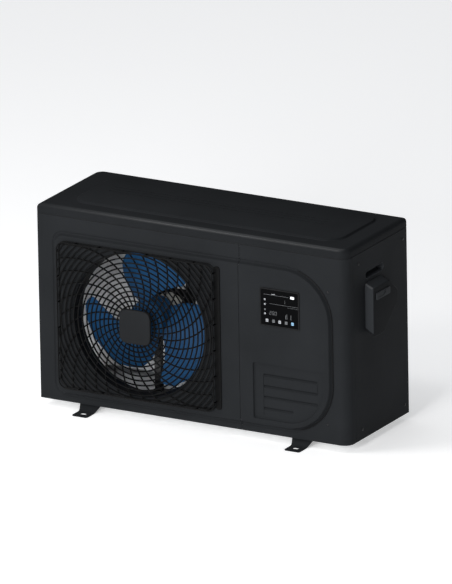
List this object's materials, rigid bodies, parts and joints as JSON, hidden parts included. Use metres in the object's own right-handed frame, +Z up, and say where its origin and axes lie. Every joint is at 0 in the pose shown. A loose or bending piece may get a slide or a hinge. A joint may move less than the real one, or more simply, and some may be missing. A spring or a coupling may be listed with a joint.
{
  "type": "pool heat pump unit",
  "caption": "Side-discharge pool heat pump: steel casing on foot rails, guarded axial fan, touch display, louvred service plate, side wiring hood, rear water unions.",
  "frame": {"origin": "middle of the footprint's bounding box, on the plane that the four foot pads stand on", "axes": "+X to the right seen from the front, +Y to the rear where the water unions are, -Y to the front where the fan and display are, +Z up"},
  "size_m": [1.04, 0.456, 0.611],
  "materials": {
    "casing": "satin anthracite powder coat with a fine texture",
    "guard": "black dip-coated wire",
    "black": "black moulded plastic",
    "blue": "blue moulded plastic, satin gloss",
    "glass": "black backed glass touch panel",
    "fins": "bare rolled fin stock",
    "zinc": "zinc plated sheet",
    "copper": "drawn copper tube",
    "brass": "machined brass",
    "steel": "black enamel on pressed steel",
    "rubber": "moulded rubber",
    "vessel": "dark grey PVC",
    "board": "green solder mask",
    "ceramic": "off-white moulded resin"
  },
  "bodies": {
    "casing": {"foot_rail_left": "casing", "foot_rail_right": "casing", "front_panel": "casing", "control_panel": "casing", "louvre_panel": "casing", "top_cover": "casing", "right_side_panel": "casing", "rear_panel": "casing", "rear_left_post": "casing", "terminal_cover": "casing", "hood_latch": "casing", "guard_hub_cap": "casing", "fan_guard": "guard", "rear_coil_guard": "guard", "left_coil_guard": "guard", "motor_bracket": "guard", "fan_shroud": "black", "side_grip_cup": "black", "drain_nozzle": "black", "flow_switch": "black", "power_gland": "black", "display_bezel": "black", "display_housing": "black", "display_glass": "glass", "evaporator_coil": "fins", "heat_sink": "fins", "base_pan": "zinc", "coil_end_plate_front": "zinc", "coil_end_plate_rear": "zinc", "partition_plate": "zinc", "control_box": "zinc", "control_box_lid": "zinc", "exchanger_band": "zinc", "discharge_pipe": "copper", "suction_pipe": "copper", "coil_gas_pipe": "copper", "exchanger_gas_pipe": "copper", "four_way_valve": "brass", "expansion_valve": "brass", "compressor": "steel", "accumulator": "steel", "compressor_grommet_1": "rubber", "compressor_grommet_2": "rubber", "compressor_grommet_3": "rubber", "inlet_seal": "rubber", "outlet_seal": "rubber", "heat_exchanger": "vessel", "inlet_stub": "vessel", "outlet_stub": "vessel", "power_board": "board", "terminal_block": "ceramic", "fan_motor": "ceramic"},
    "rotor": {"fan_impeller": "blue", "fan_lock_nut": "zinc", "motor_shaft": "zinc"},
    "inlet_tail": {"inlet_tailpiece": "vessel"},
    "inlet_nut": {"inlet_union_nut": "black"},
    "outlet_tail": {"outlet_tailpiece": "vessel"},
    "outlet_nut": {"outlet_union_nut": "black"},
    "paddle": {"flow_paddle": "brass"}
  },
  "joints": [
    {"name": "fan_spin", "type": "hinge", "parent": "casing", "child": "rotor", "pos_m": [-0.187, 0, 0.2885], "axis": [0, 1, 0], "continuous": true},
    {"name": "inlet_tail_slide", "type": "slide", "parent": "casing", "child": "inlet_tail", "axis": [0, 1, 0], "range_m": [0, 0.012]},
    {"name": "inlet_nut_turn", "type": "hinge", "parent": "inlet_tail", "child": "inlet_nut", "pos_m": [0.36, 0.19, 0.127], "axis": [0, 1, 0], "range_deg": [0, 720.1]},
    {"name": "outlet_tail_slide", "type": "slide", "parent": "casing", "child": "outlet_tail", "axis": [0, 1, 0], "range_m": [0, 0.012]},
    {"name": "outlet_nut_turn", "type": "hinge", "parent": "outlet_tail", "child": "outlet_nut", "pos_m": [0.36, 0.19, 0.367], "axis": [0, 1, 0], "range_deg": [0, 720.1]},
    {"name": "flow_paddle_swing", "type": "hinge", "parent": "casing", "child": "paddle", "pos_m": [0.36, 0.153, 0.143], "axis": [-1, 0, 0], "range_deg": [0, 35], "stiffness_Nm_per_rad": 0.002}
  ],
  "couplings": [
    {"joint": "inlet_nut_turn", "follows": "inlet_tail_slide", "rad_per_m": 1047.2},
    {"joint": "outlet_nut_turn", "follows": "outlet_tail_slide", "rad_per_m": 1047.2}
  ]
}
